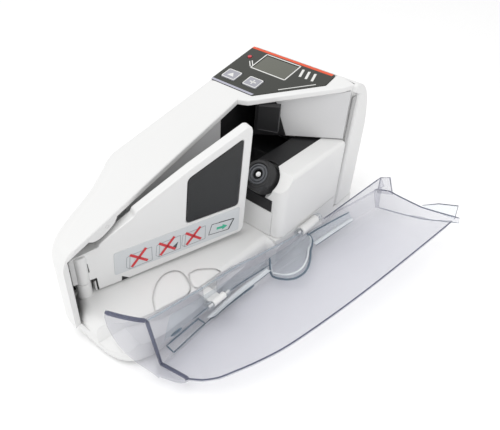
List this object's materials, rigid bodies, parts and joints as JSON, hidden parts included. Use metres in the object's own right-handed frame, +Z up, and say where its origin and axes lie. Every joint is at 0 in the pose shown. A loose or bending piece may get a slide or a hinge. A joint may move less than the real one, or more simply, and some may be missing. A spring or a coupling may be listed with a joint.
{
  "type": "banknote counting machine",
  "caption": "Handheld banknote counter with inclined control panel, swinging pressure arm, slanted feed roller and clear folding front cover.",
  "frame": {"origin": "centre of the underside of the bounding box, with the cover open as stored; the feet stand on z = 0", "axes": "+X along the case from the narrow nose to the thick end under the display, +Y to the back of the case, +Z up"},
  "size_m": [0.2138, 0.1659, 0.1055],
  "materials": {
    "white_abs": "smooth semi-gloss white moulding",
    "grey_abs": "satin grey-white moulding",
    "black_abs": "satin black moulding",
    "black_gloss": "glossy black insert",
    "clear_pc": "clear faintly blue-grey plastic, polished",
    "membrane": "printed membrane, satin dark olive-black with white outline",
    "lilac_keys": "satin grey-lilac",
    "lcd_glass": "grey-green liquid-crystal window",
    "led_red": "clear red lens",
    "rubber": "matte black",
    "steel": "bright",
    "brass": "machined",
    "pcb_green": "solder-masked board",
    "cell_jacket": "shrink jacket",
    "label_film": "printed silver-grey film"
  },
  "bodies": {
    "root": {"rear_shell": "white_abs", "base_shell": "white_abs", "back_plate": "grey_abs", "display_skirt": "grey_abs", "chassis_block": "black_abs", "sensor_hood": "black_abs", "roller_housing": "white_abs", "shaft_bush": "brass", "motor_body": "steel", "motor_bracket": "steel", "arm_pin": "steel", "arm_spring": "steel", "panel_overlay": "membrane", "display_lens": "lcd_glass", "display_module": "lcd_glass", "status_led": "led_red", "control_board": "pcb_green", "dc_jack": "black_abs", "switch_frame": "black_abs", "battery_cell_1": "cell_jacket", "battery_contact_1": "steel", "rubber_foot_1": "rubber", "battery_cell_2": "cell_jacket", "battery_contact_2": "steel", "rubber_foot_2": "rubber", "battery_cell_3": "cell_jacket", "battery_contact_3": "steel", "rubber_foot_3": "rubber", "battery_cell_4": "cell_jacket", "battery_contact_4": "steel", "rubber_foot_4": "rubber", "case_screw_1": "steel", "cover_pin_1": "steel", "case_screw_2": "steel", "cover_pin_2": "steel"},
    "arm": {"pressure_arm": "white_abs", "arm_pad": "black_gloss", "arm_label": "label_film"},
    "roller": {"feed_tyre": "rubber", "roller_hub": "grey_abs", "roller_shaft": "steel", "drive_gear": "white_abs"},
    "motor_rotor": {"motor_pinion": "brass", "motor_shaft": "steel"},
    "cover": {"clear_cover": "clear_pc"},
    "start_button": {"start_key": "lilac_keys"},
    "add_button": {"add_key": "lilac_keys"},
    "rocker": {"power_rocker": "black_abs"},
    "battery_hatch": {"battery_door": "white_abs"}
  },
  "joints": [
    {"name": "arm_swing", "type": "hinge", "parent": "root", "child": "arm", "pos_m": [-0.09331, 0.04601, 0.03856], "axis": [0, 0, 1], "range_deg": [0, 3.5], "stiffness_Nm_per_rad": 0.03, "springref_deg": -28.65},
    {"name": "cover_hinge", "type": "hinge", "parent": "root", "child": "cover", "pos_m": [-0.00194, -0.00788, 0.02063], "axis": [1, 0, 0], "range_deg": [-70, 0]},
    {"name": "roller_spin", "type": "hinge", "parent": "root", "child": "roller", "pos_m": [0.01177, 0.01436, 0.06512], "axis": [-0.7071, 0, 0.7071], "continuous": true},
    {"name": "motor_spin", "type": "hinge", "parent": "root", "child": "motor_rotor", "pos_m": [0.01177, 0.0054, 0.06512], "axis": [-0.7071, 0, 0.7071], "continuous": true},
    {"name": "start_press", "type": "slide", "parent": "root", "child": "start_button", "axis": [-0.2233, 0, 0.9748], "range_m": [-0.0006, 0], "stiffness_N_per_m": 400},
    {"name": "add_press", "type": "slide", "parent": "root", "child": "add_button", "axis": [-0.2233, 0, 0.9748], "range_m": [-0.0006, 0], "stiffness_N_per_m": 400},
    {"name": "rocker_tilt", "type": "hinge", "parent": "root", "child": "rocker", "pos_m": [0.06545, 0.07916, 0.03262], "axis": [0, 0, 1], "range_deg": [-14, 0]},
    {"name": "hatch_hinge", "type": "hinge", "parent": "root", "child": "battery_hatch", "pos_m": [0.0027, 0.0364, 0.00184], "axis": [0, 1, 0], "range_deg": [-75, 0]}
  ],
  "couplings": [
    {"joint": "motor_spin", "follows": "roller_spin", "ratio": -2.4}
  ]
}
